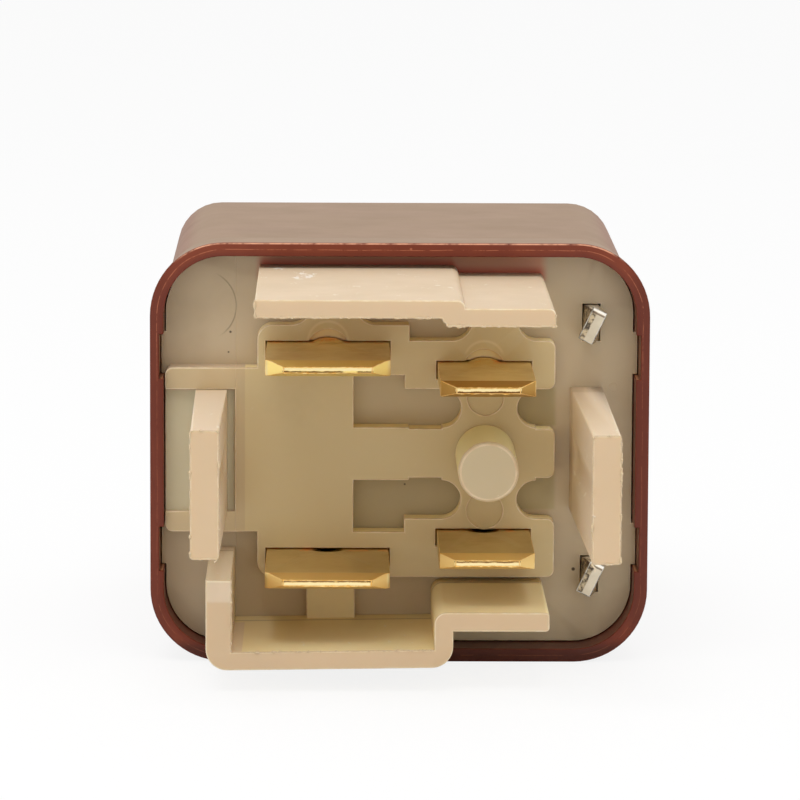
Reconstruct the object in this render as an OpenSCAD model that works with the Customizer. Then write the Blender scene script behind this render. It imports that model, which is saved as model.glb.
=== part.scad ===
// Four-blade plug-in relay for a vehicle's fuse box: a moulded base with key walls, blades
// and a locating post, closed by a deep cover over a hinged-armature mechanism.
// Every piece is drawn in the relay's working frame, with x across the terminal side, y up
// its face and z out of the cover's mouth, and lay() sets it down on one broad side.

/* [Cover] */
// Width of the cover at its mouth
cover_w = 25.7; // [25.4:0.1:27]
// Height of the cover at its mouth
cover_h = 21.8; // [21.6:0.1:24]
// Depth of the cover from its mouth to its closed end
cover_l = 26.5; // [26:0.1:32]
// Wall of the cover at its mouth
cover_wall = 0.7; // [0.6:0.05:0.8]
// Wall of the cover's closed end
cover_end_wall = 1.0; // [0.6:0.1:1.2]
// Corner radius at the mouth
cover_mouth_r = 3.8; // [2.8:0.1:4.4]
// Rounding of the mouth's outer edge
cover_lip_r = 0.12; // [0.05:0.01:0.2]
// Corner radius of the body just behind the skirt
cover_body_r = 2.85; // [2.4:0.05:3.2]
// Corner radius at the closed end
cover_end_r = 2.45; // [1.8:0.05:3]
// Rounding of the edge around the closed end
cover_edge_r = 0.8; // [0.3:0.1:1.2]
// Draft of each side over the body's depth
cover_draft = 0.02; // [0:0.01:0.2]
// Draft of the skirt's sides and top over its depth
skirt_draft = 0.22; // [0:0.02:0.3]
// Thickness of the ledge between the skirt and the body, on which the base sits
ledge_t = 1.2; // [0.5:0.05:1.5]
// Step from the mouth's outline in to the body, across and along the relay's height
skirt_step = [0.66, 0.46]; // [0.4:0.02:0.7]

/* [Base plate] */
// How far the base's face lies inside the cover's mouth
base_recess = 2.0; // [1.5:0.1:2.5]
// Thickness of the base plate
base_t = 1.4; // [1.3:0.05:1.8]
// Clearance between the base and the cover all round
base_clear = 0.05; // [0.02:0.01:0.1]
// How far each of the four ears reaches into the cover's wall
ear_reach = 0.18; // [0.12:0.01:0.3]
// Height of an ear
ear_h = 2.2; // [1.5:0.1:2.6]
// Distance of the ears above and below the middle
ear_y = 5.0; // [4.8:0.1:5.4]

/* [Pads around the blades] */
// Height of the pads above the base's face
pad_h = 1.4; // [1:0.1:1.8]
// Left edge of the pads under the wide blades
pad_left = -7.35; // [-7.5:0.05:-7.2]
// Right edge of the pads under the narrow blades
pad_right = 8.03; // [7.8:0.05:8.2]
// Top edge of the pads under the wide blades
wide_pad_top = 6.6; // [6.4:0.1:6.9]
// Top edge of the pad under the upper narrow blade
narrow_pad_top = 5.8; // [5.6:0.1:6.1]
// Bottom edge of the lower pads
pad_bottom = -6.55; // [-6.7:0.05:-6.4]
// Half height of the bar between the pockets
bar_half_h = 1.25; // [1:0.05:1.4]
// Height of the rounded pockets
pocket_h = 2.0; // [1.8:0.05:2.1]
// Left edge of the two left pockets
pocket_left = -2.37; // [-2.6:0.05:-2.1]
// Width of the deeper corner of each left pocket
pocket_corner_w = 2.62; // [2:0.1:3]
// Depth of that corner past the rounded pocket
pocket_corner_h = 0.7; // [0.4:0.05:0.75]
// Top and bottom of the block behind the left key wall
left_block_h = [-4.2, 4.37]; // [-5:0.05:5]
// Depth of the window sunk in that block
window_sink = 0.35; // [0.1:0.05:0.6]
// Radius of the concave corners at the two bridges to the top key wall
bridge_r = 1.0; // [0.5:0.1:1.2]

/* [Key walls] */
// Length of the three long key walls past the pads
long_wall_l = 14.3; // [10:0.1:16]
// Length of the low, stepped key wall past the pads
low_wall_l = 8.85; // [6:0.05:10]
// Thickness of the top key wall
top_wall_t = 0.87; // [0.7:0.01:1]
// Step down to the right part of the top key wall
top_wall_step = 0.4; // [0.2:0.05:0.5]
// Height of the left and right key walls
side_wall_h = 6.36; // [5:0.02:6.4]
// Thickness of the side walls at the tip
side_wall_t = 1.4; // [1:0.05:1.6]
// Thickening of a side wall from its tip to its root
side_wall_draft = 0.24; // [0:0.02:0.3]
// Depth of the hollow in the side walls' inner faces
side_hollow = 0.24; // [0.1:0.02:0.4]
// Thickness of the low wall's step and arm
low_wall_t = 0.95; // [0.7:0.05:1.1]
// Thickness of the low wall along the bottom
low_bar_t = 0.91; // [0.7:0.01:1.1]
// Thickness of the low wall's left leg
low_leg_t = 1.28; // [1:0.02:1.4]

/* [Post] */
// Radius of the locating post
post_r = 1.54; // [1.3:0.02:1.6]
// Length of the locating post past the pads
post_l = 6.2; // [4:0.1:7]
// Chamfer round the post's end
post_chamfer = 0.12; // [0.05:0.01:0.2]

/* [Blades] */
// Width of the two load blades
wide_blade_w = 6.3; // [5.8:0.1:6.3]
// Width of the two coil blades
narrow_blade_w = 4.8; // [4.2:0.1:4.8]
// Thickness of every blade
blade_t = 0.8; // [0.6:0.05:0.8]
// Length of every blade past the pads
blade_l = 7.9; // [6:0.1:8.5]
// Distance of the load blades above and below the pattern's middle
wide_blade_y = 5.4; // [5.2:0.05:5.5]
// Distance of the coil blades above and below the pattern's middle
narrow_blade_y = 4.38; // [4.3:0.02:4.5]
// Cut across each corner of a load blade and of a coil blade
blade_cut = [0.93, 0.8]; // [0.5:0.01:1.1]
// Length of the pressed bevel round a blade's end
bevel_l = 0.75; // [0.4:0.05:1]
// Rise of the round dimple that locks a blade in the base
dimple_rise = 0.24; // [0.1:0.02:0.3]

/* [Magnet] */
// Thickness of the yoke's sheet
yoke_t = 0.95; // [0.8:0.05:1]
// Width of the yoke
yoke_w = 16; // [15.4:0.1:17]
// Gap between the yoke's back and the cover
yoke_gap = 1.75; // [1.6:0.05:1.9]
// How far the twisted lock tabs stand above the base's face
tab_proud = 1.5; // [1:0.1:2]
// Twist of the lock tabs
tab_twist = 26; // [0:1:40]
// Clearance between the back stop and the cover's closed end
end_clear = 1.65; // [0.3:0.05:3]
// Thickness of the winding on the bobbin
winding_t = 1.35; // [0.9:0.05:1.6]
// How far the winding lies inside the bobbin's flanges
coil_inset = 0.25; // [0.2:0.05:0.6]
// Thickness of the tape round the winding
tape_t = 0.1; // [0.05:0.01:0.12]

/* [Armature and contacts] */
// Thickness of the armature
armature_t = 1.2; // [0.9:0.05:1.3]
// Swing of the armature from open to closed
swing_deg = 2.2; // [1:0.1:2.4]
// Thickness of the contact spring and the hinge spring
leaf_t = 0.25; // [0.15:0.05:0.3]
// Height of each contact's head
contact_h = 0.55; // [0.4:0.05:0.6]
// Radius of each contact's head
contact_r = 1.25; // [0.9:0.05:1.35]
// Sheet of the back stop
stop_t = 0.6; // [0.4:0.05:0.7]

/* [Hidden] */
$fn = 48;

// Levels along z, from the tips of the key walls back to the closed end
face_z = -base_recess;
pad_z = face_z + pad_h;
back_z = face_z - base_t;
skirt_z = back_z - ledge_t;
long_tip_z = pad_z + long_wall_l;
low_tip_z = pad_z + low_wall_l;
blade_tip_z = pad_z + blade_l;
foot_z = back_z - yoke_t;
end_z = -cover_l + cover_end_wall;

// Insides of the cover and outline of the base
inner_w = cover_w - 2 * cover_wall;
inner_h = cover_h - 2 * cover_wall;
inner_r = cover_mouth_r - cover_wall;
plate_w = inner_w - 2 * base_clear;
plate_h = inner_h - 2 * base_clear;
plate_r = inner_r - base_clear;
body_w = cover_w - 2 * skirt_step[0];
body_h = cover_h - 2 * skirt_step[1];
slice = 0.02;
through = 1;

// The blade pattern sits a little below the middle of the cover
pattern_y = -0.1;
wide_x = pad_left + 0.5 + wide_blade_w / 2;
narrow_x = pad_right - 1.28 - narrow_blade_w / 2;
post_x = narrow_x + 0.07;
pocket_y = pattern_y + bar_half_h + pocket_h / 2 + 0.13;
slot_clear = 0.02;
slot_lead = 0.06;
slot_lead_l = 0.5;
dimple_w = 1.7;
dimple_r = (pow(dimple_w / 2, 2) + pow(dimple_rise, 2)) / (2 * dimple_rise);
dimple_y = blade_t / 2 + dimple_rise - dimple_r;
relief_r = 1.07;
relief_l = 0.3;
dimple_clear = 0.04;
nose_t = blade_t * 0.38;

// Key walls, set in from the inside of the cover
top_wall_x = [-7.25, 7.4];
top_wall_gap = 0.62;
left_wall_gap = 3.15;
right_wall_gap = 2.88;
low_left_gap = 2.36;
low_bottom_gap = 0.4;
low_arm_drop = 2.97;
top_wall_y = inner_h / 2 - top_wall_gap;
top_step_x = 2.85;
top_step_run = 0.3;
left_wall_x = left_wall_gap - inner_w / 2;
right_wall_x = inner_w / 2 - right_wall_gap;
left_wall_lean = [0, -0.08];
right_wall_lean = [0.3, -0.28];
side_wall_y = 0.05;
low_left = low_left_gap - inner_w / 2;
low_bottom = low_bottom_gap - inner_h / 2;
low_leg_top = -5.18;
low_step_x = 2.63;
low_arm_y = low_bottom + low_arm_drop;
low_arm_x = 7.45;
low_corner_r = 1.08;
low_bar_rise = 0.18;
tongue_x = [-4.8, -2.27];
tongue_sink = 0.5;

// Magnet
yoke_back_x = inner_w / 2 - yoke_gap;
yoke_front_x = yoke_back_x - yoke_t;
yoke_mid_x = yoke_back_x - yoke_t / 2;
foot_w = 6.4;
flange_t = 0.9;
flange_gap = 0.35;
riser_x = wide_x - wide_blade_w / 2;
riser_w = 2.9;
tower_wall = 0.6;
tower_h = 2.5;
resistor_r = 1.0;
resistor_l = 6.0;
lead_r = 0.25;
lead_bend_r = 0.6;
resistor_x = riser_x + riser_w + tower_wall + lead_r + 0.1;
flange_x = resistor_x + resistor_r + 0.7;
flange_w = yoke_front_x - flange_gap - flange_x;
core_x = flange_x + flange_w / 2;
coil_r = flange_w / 2 - coil_inset;
core_clear = 0.05;
tube_t = 0.75;
core_r = coil_r - winding_t - tube_t - core_clear;
spigot_r = core_r - 1.2;
pole_r = flange_w / 2 - 0.9;
pole_t = 0.9;
pole_gap = 0.05;
tab_t = 0.8;
tab_w = 1.8;
tab_clear = 0.06;
tab_y = 6.6;
hinge_w = 10.4;
hinge_r = yoke_t / 2;
hinge_clear = 0.03;

// Armature, springs and contacts
armature_x = core_x - pole_r - 0.2;
armature_tip_w = 8.8;
leaf_w = 4.4;
contact_x = riser_x + riser_w / 2;
contact_gap = 0.03;
leaf_root_gap = 1.3;
leaf_root_x = core_x + pole_r - leaf_root_gap;
shank_r = 0.55;
rivet_head_r = 0.95;
rivet_head_h = 0.4;
tail_h = 0.3;
bend_r = 0.3;
stop_w = 3.6;
stop_depth = 0.8;
stop_clear = 0.12;
stop_wall_gap = 2.25;
stop_x = stop_wall_gap - inner_w / 2;
open_rise = (yoke_mid_x - contact_x) * sin(swing_deg);

// Levels of the mechanism, worked forward from the closed end
stop_face_z = end_z + end_clear + stop_t;
leaf_z = stop_face_z + stop_clear + open_rise + tail_h + leaf_t;
armature_z = leaf_z + armature_t;
pole_z = armature_z + pole_gap;
hinge_z = pole_z + 0.1;
bobbin_l = foot_z - pole_t - pole_z;
fixed_face_z = leaf_z + contact_h + contact_gap;
fixed_arm_z = fixed_face_z + contact_h;
hinge_leaf_gap = 0.2;
hinge_leaf_z = leaf_z - hinge_leaf_gap;
hinge_leaf_w = 5.6;
hinge_rivet_z = foot_z - 0.45 * bobbin_l;

// Coil connections
tag_w = 1.2;
tag_top_z = foot_z - flange_t;
tag_x = narrow_x - narrow_blade_w / 2 + tag_w / 2;
tag_gap = 0.15;
wire_r = 0.16;
resistor_z = back_z - 0.6;
braid_r = 0.45;
braid_overlap = 2;
braid_reach = [1.6, 1.7];
braid_top_z = (foot_z + pole_z) / 2;
contact_arm_reach = 1.7;

// Sets a piece down on the relay's broad side, with the middle of its length at the origin
module lay() {
    translate([0, (long_tip_z - cover_l) / 2, cover_h / 2]) rotate([90, 0, 0]) children();
}

// Turns the armature's pieces from closed to open about the yoke's rounded edge
module swung_open() {
    translate([yoke_mid_x, 0, hinge_z]) rotate([0, -swing_deg, 0])
        translate([-yoke_mid_x, 0, -hinge_z]) children();
}

// Rectangle between two corners, with its own corner radius
module plan_rect(x, y, r = 0) {
    w = x[1] - x[0];
    h = y[1] - y[0];
    translate([(x[0] + x[1]) / 2, (y[0] + y[1]) / 2]) if (r > 0) {
        square([w - 2 * r, h], center = true);
        square([w, h - 2 * r], center = true);
        for (i = [-1, 1], j = [-1, 1]) translate([i * (w / 2 - r), j * (h / 2 - r)]) circle(r);
    } else square([w, h], center = true);
}

module rounded_plan(w, h, r) {
    plan_rect([-w / 2, w / 2], [-h / 2, h / 2], r);
}

// Plain block between two levels
module block(x, y, z) {
    translate([x[0], y[0], z[0]]) cube([x[1] - x[0], y[1] - y[0], z[1] - z[0]]);
}

// Extrudes a plan between two levels
module between(z_low, z_high) {
    translate([0, 0, z_low]) linear_extrude(z_high - z_low) children();
}

// Extrudes an outline drawn in x and z across the width of the relay
module across(w) {
    rotate([90, 0, 0]) linear_extrude(w, center = true) children();
}

// Bent strip seen from its edge: leg a runs along +x and leg b along +y from the outer corner
module bent_strip(a, b, t, r) {
    translate([0, r + t]) square([t, b - r - t]);
    translate([r + t, 0]) square([a - r - t, t]);
    translate([r + t, r + t]) intersection() {
        difference() {
            circle(r + t);
            circle(r);
        }
        translate([-r - t, -r - t]) square(r + t);
    }
}

// ---- Cover ----------------------------------------------------------------------------

// Drafted, round-edged body between the skirt and the closed end, shrunk by a wall
module cover_body(wall, end_z, top_z) {
    end_w = body_w - 2 * cover_draft - 2 * wall;
    end_h = body_h - 2 * cover_draft - 2 * wall;
    end_r = max(cover_end_r - wall, 0.5);
    edge_r = max(cover_edge_r - wall / 2, 0.3);
    hull() {
        translate([0, 0, top_z - slice]) linear_extrude(slice)
            rounded_plan(body_w - 2 * wall, body_h - 2 * wall, cover_body_r - wall, $fn = 32);
        for (a = [0, 30, 60, 90]) {
            inset = 2 * edge_r * (1 - cos(a));
            translate([0, 0, end_z + edge_r * (1 - sin(a))]) linear_extrude(slice)
                rounded_plan(end_w - inset, end_h - inset, end_r, $fn = 32);
        }
    }
}

// Skirt behind the mouth, drafted on three sides and straight on the side that the relay
// lies on, with the mouth's outer edge rounded
module skirt() {
    hull() {
        between(skirt_z, skirt_z + slice) skirt_plan(skirt_draft, 0);
        for (a = [0, 45, 90]) {
            z = -cover_lip_r * (1 - sin(a));
            inset = cover_lip_r * (1 - cos(a));
            between(z - slice, z) skirt_plan(inset, inset);
        }
    }
}

module skirt_plan(inset, low_inset) {
    plan_rect([-cover_w / 2 + inset, cover_w / 2 - inset],
        [-cover_h / 2 + low_inset, cover_h / 2 - inset], cover_mouth_r - inset, $fn = 64);
}

// Where the base's ears sit in the cover's wall
module ear_plans(grow) {
    for (i = [-1, 1], j = [-1, 1]) translate([i * inner_w / 2, j * ear_y])
        square([2 * (ear_reach + grow), ear_h + 2 * grow], center = true);
}

module cover() {
    color([0.46, 0.18, 0.11]) difference() {
        union() {
            skirt();
            cover_body(0, -cover_l, skirt_z + slice);
        }
        between(back_z, through) rounded_plan(inner_w, inner_h, inner_r);
        cover_body(cover_wall, end_z, back_z + slice);
        between(back_z, through) ear_plans(base_clear);
    }
}

// ---- Base -----------------------------------------------------------------------------

// Concave corner between a pad's top edge and a bridge: dir is 1 on a bridge's right side
module bridge_corner(x, y, dir) {
    difference() {
        plan_rect(dir > 0 ? [x, x + bridge_r] : [x - bridge_r, x], [y, y + bridge_r]);
        translate([x + dir * bridge_r, y + bridge_r]) circle(bridge_r);
    }
}

// Bridge from a pad's top edge up to the top key wall
module bridge(x, y) {
    plan_rect(x, [y, top_wall_y - top_wall_step]);
    bridge_corner(x[0], y, -1);
    bridge_corner(x[1], y, 1);
}

// Round-ended pocket: it runs from its round end to the edge given
module pocket(end_x, edge_x, y) {
    translate([end_x, y]) circle(pocket_h / 2);
    plan_rect([min(end_x, edge_x), max(end_x, edge_x)], [y - pocket_h / 2, y + pocket_h / 2]);
}

module pad_plan() {
    left_end = post_x - 2.25;
    right_end = post_x + 2.65;
    corner_x = [pocket_left, pocket_left + pocket_corner_w];
    bar = [pattern_y - bar_half_h, pattern_y + bar_half_h];
    pad_r = 0.4;
    difference() {
        union() {
            plan_rect([pad_left, corner_x[1] + 0.25], [pad_bottom, wide_pad_top], 0.8);
            plan_rect([pocket_left, corner_x[1] + 0.25], [wide_pad_top - 1, wide_pad_top]);
            plan_rect([-1, pad_right], [pad_bottom, pattern_y * 2 - pocket_y - pocket_h / 2], pad_r);
            plan_rect([-1, pad_right], bar + [0, 0.06], pad_r);
            plan_rect([-1, pad_right], [pocket_y + pocket_h / 2, narrow_pad_top], pad_r);
            plan_rect([left_end, right_end], [pad_bottom + 1, narrow_pad_top - 1]);
            plan_rect([-plate_w / 2, pad_left + 1], left_block_h, pad_r);
            bridge([-4.6, -2.24], wide_pad_top);
            bridge([3.7, 6.1], narrow_pad_top);
        }
        for (y = [pocket_y, 2 * pattern_y - pocket_y]) {
            pocket(left_end, pocket_left, y);
            pocket(right_end, pad_right + 1, y);
        }
        plan_rect(corner_x, [pocket_y, pocket_y + pocket_h / 2 + pocket_corner_h]);
        plan_rect(corner_x, [-pocket_h / 2 - pocket_corner_h, 0]
            + [1, 1] * (2 * pattern_y - pocket_y));
    }
}

// What an upper right corner at (x, y) loses when it is rounded
module round_corner(x, y, r) {
    difference() {
        plan_rect([x - r, x], [y - r, y]);
        translate([x - r, y - r]) circle(r);
    }
}

// Top key wall: thin, with a step near its middle
module top_wall_plan() {
    y = top_wall_y;
    low = y - top_wall_step;
    step_x = top_step_x + top_step_run / 2;
    inner_step_x = top_step_x - 0.85;
    difference() {
        polygon([
            [top_wall_x[0], y - top_wall_t], [inner_step_x - top_step_run / 2, y - top_wall_t],
            [inner_step_x + top_step_run / 2, low - top_wall_t], [top_wall_x[1], low - top_wall_t],
            [top_wall_x[1], low], [step_x, low], [step_x, y], [top_wall_x[0], y]
        ]);
        round_corner(top_wall_x[1], low, 0.3);
        round_corner(step_x, y, top_wall_step);
    }
}

// Side key wall: drafted from its root to its tip, with a long, shallow hollow in its inner
// face. face_x is the inner face at the tip, dir points outwards and lean moves the tip.
module side_wall(face_x, dir, lean) {
    root_z = face_z - slice;
    half_h = side_wall_h / 2;
    draft = side_wall_draft / 2;
    tip = [face_x, face_x + dir * side_wall_t];
    root = [tip[0] - dir * draft - dir * lean[0], tip[1] + dir * draft - dir * lean[0]];
    difference() {
        hull() {
            between(root_z, root_z + slice)
                plan_rect([min(root), max(root)], [side_wall_y - half_h, side_wall_y + half_h]);
            between(long_tip_z - slice, long_tip_z)
                plan_rect([min(tip), max(tip)],
                    lean[1] * [1, 1] + [side_wall_y - half_h, side_wall_y + half_h], 0.15);
        }
        side_hollow_cut([root[0], side_wall_y, root_z], [tip[0], side_wall_y + lean[1], long_tip_z], dir);
    }
}

// Round-bottomed, round-ended cutter along the line from a wall's root to its tip
module side_hollow_cut(root, tip, dir) {
    half_h = 0.98;
    r = (half_h * half_h + side_hollow * side_hollow) / (2 * side_hollow);
    ends = [0.26, 0.91];
    shift = [dir * (side_hollow - r), 0.05, 0];
    low = root + (tip - root) * ends[0] + shift;
    high = root + (tip - root) * ends[1] + shift;
    step = high - low;
    translate(low) rotate([0, acos(step[2] / norm(step)), atan2(step[1], step[0])])
        cylinder(r = r, h = norm(step));
    for (p = [low, high]) translate(p) sphere(r);
}

// Points of an arc about (x, y), from angle a to angle b
function arc_points(x, y, r, a, b) =
    [for (i = [0 : 12]) let (t = a + (b - a) * i / 12) [x + r * cos(t), y + r * sin(t)]];

// Low key wall: a channel along the bottom whose right leg steps out into an arm
module low_wall_plan() {
    inner_x = low_step_x - low_wall_t;
    arm = [low_arm_y - low_wall_t, low_arm_y];
    step_r = 0.6;
    inner_left = low_left + low_leg_t;
    slope = low_bar_rise / (low_step_x - low_left);
    inner_y = [low_bottom + low_bar_t + slope * low_leg_t,
        low_bottom + low_bar_t + slope * (inner_x - low_left)];
    tilt = atan(slope);
    corner_x = [low_left + low_corner_r, low_step_x - low_corner_r];
    corner_y = [for (x = corner_x) low_bottom + slope * (x - low_left) + low_corner_r / cos(tilt)];
    polygon(concat(
        [[low_left, low_leg_top]],
        arc_points(corner_x[0], corner_y[0], low_corner_r, 180, 270 + tilt),
        arc_points(corner_x[1], corner_y[1], low_corner_r, 270 + tilt, 360),
        [[low_step_x, arm[1] - step_r], [inner_x, arm[1] - step_r], [inner_x, inner_y[1]],
            [inner_left, inner_y[0]], [inner_left, low_leg_top]]
    ));
    plan_rect([inner_x + step_r, low_arm_x], arm, 0.2);
    plan_rect([inner_x + step_r, inner_x + step_r + 0.5], arm);
    intersection() {
        translate([inner_x + step_r, arm[1] - step_r]) circle(step_r);
        plan_rect([inner_x, inner_x + step_r], [arm[1] - step_r, arm[1]]);
    }
}

// Opening in the base for a blade and the dimple that locks it; s is the dimple's side
module blade_slot(x, y, w, s) {
    for (c = [[slot_clear, back_z - 4], [slot_lead, pad_z - slot_lead_l]])
        block([x - w / 2 - c[0], x + w / 2 + c[0]], [y - blade_t / 2 - c[0], y + blade_t / 2 + c[0]],
            [c[1], pad_z + through]);
    intersection() {
        union() {
            translate([x, y, pad_z - relief_l]) cylinder(r = relief_r, h = relief_l + through);
            translate([x, y + s * dimple_y, pad_z]) sphere(dimple_r + dimple_clear);
        }
        block([x - 2, x + 2], s > 0 ? [y, y + 2] : [y - 2, y], [pad_z - 2, pad_z + through]);
    }
}

// Moulded tower that carries a load terminal's riser behind the base
module riser_tower(y) {
    block([riser_x - tower_wall, riser_x + riser_w + tower_wall],
        [y - blade_t / 2 - tower_wall, y + blade_t / 2 + tower_wall], [back_z - tower_h, back_z]);
}

module post() {
    translate([post_x, pattern_y, face_z]) {
        cylinder(r = post_r, h = pad_h + post_l - post_chamfer);
        translate([0, 0, pad_h + post_l - post_chamfer])
            cylinder(r1 = post_r, r2 = post_r - post_chamfer, h = post_chamfer);
    }
}

module base() {
    mark_r = 0.93;
    mark_sink = 0.12;
    color([0.84, 0.76, 0.62]) difference() {
        union() {
            between(back_z, face_z) {
                rounded_plan(plate_w, plate_h, plate_r);
                ear_plans(0);
            }
            between(face_z - slice, pad_z) pad_plan();
            between(face_z - slice, pad_z - tongue_sink)
                plan_rect(tongue_x, [low_bottom + low_wall_t / 2, pad_bottom + 1]);
            between(face_z - slice, long_tip_z) top_wall_plan();
            between(face_z - slice, low_tip_z) low_wall_plan();
            side_wall(left_wall_x, -1, left_wall_lean);
            side_wall(right_wall_x, 1, right_wall_lean);
            post();
            for (s = [-1, 1]) riser_tower(pattern_y + s * wide_blade_y);
        }
        difference() {
            block([-inner_w, left_wall_x + 0.5], [side_wall_y - side_wall_h / 2,
                side_wall_y + side_wall_h / 2], [pad_z - window_sink, pad_z + 0.01]);
            side_wall(left_wall_x, -1, left_wall_lean);
        }
        for (s = [-1, 1]) {
            blade_slot(wide_x, pattern_y + s * wide_blade_y, wide_blade_w, s);
            blade_slot(narrow_x, pattern_y + s * narrow_blade_y, narrow_blade_w, s);
            translate([post_x, pattern_y + s * 2.95, pad_z - mark_sink]) cylinder(r = mark_r, h = 1);
            tab_half = tab_w / 2 + tab_clear;
            block([yoke_mid_x - tab_t / 2 - tab_clear, yoke_mid_x + tab_t / 2 + tab_clear],
                [s * tab_y - tab_half, s * tab_y + tab_half], [back_z - 1, face_z + through]);
        }
        block([stop_x, stop_x + stop_t], [-stop_w / 2, stop_w / 2], [back_z - 1, back_z + stop_depth]);
        translate([resistor_x, 0, resistor_z]) rotate([90, 0, 0])
            cylinder(r = resistor_r + base_clear, h = resistor_l + 0.4, center = true);
    }
}

// ---- Terminals ------------------------------------------------------------------------

// Long bar whose end, at the origin, is pressed thin over the bevel's length
module pressed_bar() {
    far = 40;
    rotate([90, 0, 90]) linear_extrude(far, center = true) polygon([
        [-blade_t / 2, -far], [blade_t / 2, -far], [blade_t / 2, -bevel_l],
        [nose_t / 2, 0], [-nose_t / 2, 0], [-blade_t / 2, -bevel_l]
    ]);
}

// Blade with cut corners, a pressed bevel round its end and a locking dimple on side s
module blade(w, cut, s) {
    side = w / 2;
    tip_z = blade_tip_z;
    difference() {
        union() {
            intersection() {
                across(blade_t) polygon([
                    [-side, back_z], [side, back_z], [side, tip_z - cut], [side - cut, tip_z],
                    [cut - side, tip_z], [-side, tip_z - cut]
                ]);
                translate([0, 0, tip_z]) pressed_bar();
                for (i = [-1, 1]) translate([i * (side - cut / 2), 0, tip_z - cut / 2])
                    rotate([0, i * 45, 0]) pressed_bar();
            }
            intersection() {
                translate([0, s * dimple_y, pad_z]) sphere(dimple_r);
                block([-2, 2], s > 0 ? [0, 2] : [-2, 0], [pad_z - 2, pad_z + 2]);
            }
        }
        translate([0, -s * (blade_t / 2 + dimple_r - dimple_rise), pad_z]) sphere(dimple_r);
    }
}

// Riser of a load terminal, from the back of the base to a level inside the cover
module riser(top_z) {
    x = -wide_blade_w / 2;
    block([x, x + riser_w], [-blade_t / 2, blade_t / 2], [top_z, back_z + slice]);
}

module load_terminal_fixed() {
    arm_l = wide_blade_y + pattern_y + blade_t / 2 + contact_arm_reach;
    arm_x = contact_x;
    color([0.80, 0.62, 0.28]) difference() {
        union() {
            translate([wide_x, pattern_y + wide_blade_y, 0]) {
                blade(wide_blade_w, blade_cut[0], 1);
                riser(fixed_arm_z + bend_r + blade_t);
            }
            translate([arm_x, pattern_y + wide_blade_y + blade_t / 2, fixed_arm_z])
                rotate([90, 0, -90]) linear_extrude(riser_w, center = true)
                    bent_strip(arm_l, 2 * (bend_r + blade_t), blade_t, bend_r);
        }
        translate([contact_x, 0, fixed_arm_z - 1]) cylinder(r = shank_r, h = 3);
    }
}

module load_terminal_braid() {
    color([0.80, 0.62, 0.28]) translate([wide_x, pattern_y - wide_blade_y, 0]) {
        blade(wide_blade_w, blade_cut[0], -1);
        riser(braid_top_z);
    }
}

// Coil terminal: the blade ends behind the base in a narrow tag for the wires
module coil_terminal(s) {
    color([0.80, 0.62, 0.28]) translate([narrow_x, pattern_y + s * narrow_blade_y, 0]) {
        blade(narrow_blade_w, blade_cut[1], s);
        block([-narrow_blade_w / 2, tag_w - narrow_blade_w / 2], [-blade_t / 2, blade_t / 2],
            [tag_top_z, back_z + slice]);
    }
}

module coil_terminal_upper() {
    coil_terminal(1);
}

module coil_terminal_lower() {
    coil_terminal(-1);
}

// ---- Magnet ---------------------------------------------------------------------------

// Folded yoke: foot under the core, back plate with a rounded hinge edge, two twisted tabs
module yoke() {
    shoulder_z = pole_z + 1.2;
    foot_l = yoke_back_x - core_x + spigot_r + 1.4;
    color([0.72, 0.72, 0.70]) {
        difference() {
            union() {
                translate([yoke_back_x, 0, back_z]) mirror([1, 0, 0]) mirror([0, 0, 1])
                    across(foot_w) bent_strip(foot_l, back_z - shoulder_z, yoke_t, bend_r);
                block([yoke_front_x, yoke_back_x], [-yoke_w / 2, yoke_w / 2],
                    [shoulder_z, foot_z - 0.6]);
                for (s = [-1, 1]) block([yoke_front_x, yoke_back_x],
                    s > 0 ? [foot_w / 2 + 0.6, yoke_w / 2] : [-yoke_w / 2, -foot_w / 2 - 0.6],
                    [shoulder_z, back_z]);
                block([yoke_front_x, yoke_back_x], [-hinge_w / 2, hinge_w / 2], [hinge_z, shoulder_z]);
                translate([yoke_mid_x, 0, hinge_z]) across(hinge_w) circle(hinge_r);
                for (s = [-1, 1]) lock_tab(s * tab_y);
            }
            translate([core_x, 0, foot_z - 1]) cylinder(r = spigot_r, h = 3);
            for (s = [-1, 1]) translate([yoke_mid_x, s * hinge_leaf_w / 4, hinge_rivet_z])
                rotate([0, 90, 0]) cylinder(r = shank_r, h = 3, center = true);
        }
    }
}

module lock_tab(y) {
    block([yoke_mid_x - tab_t / 2, yoke_mid_x + tab_t / 2], [y - tab_w / 2, y + tab_w / 2],
        [back_z - slice, face_z]);
    translate([yoke_mid_x, y, face_z])
        linear_extrude(tab_proud, twist = tab_twist, slices = 6, $fn = 4)
            square([tab_t, tab_w], center = true);
}

// Core: a riveted spigot in the foot, a round bar and a wide pole face
module core() {
    color([0.62, 0.62, 0.62]) translate([core_x, 0, 0]) {
        translate([0, 0, foot_z - slice]) cylinder(r = spigot_r, h = yoke_t + slice);
        translate([0, 0, pole_z]) cylinder(r = core_r, h = foot_z - pole_z);
        translate([0, 0, pole_z]) cylinder(r = pole_r, h = pole_t);
    }
}

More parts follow.
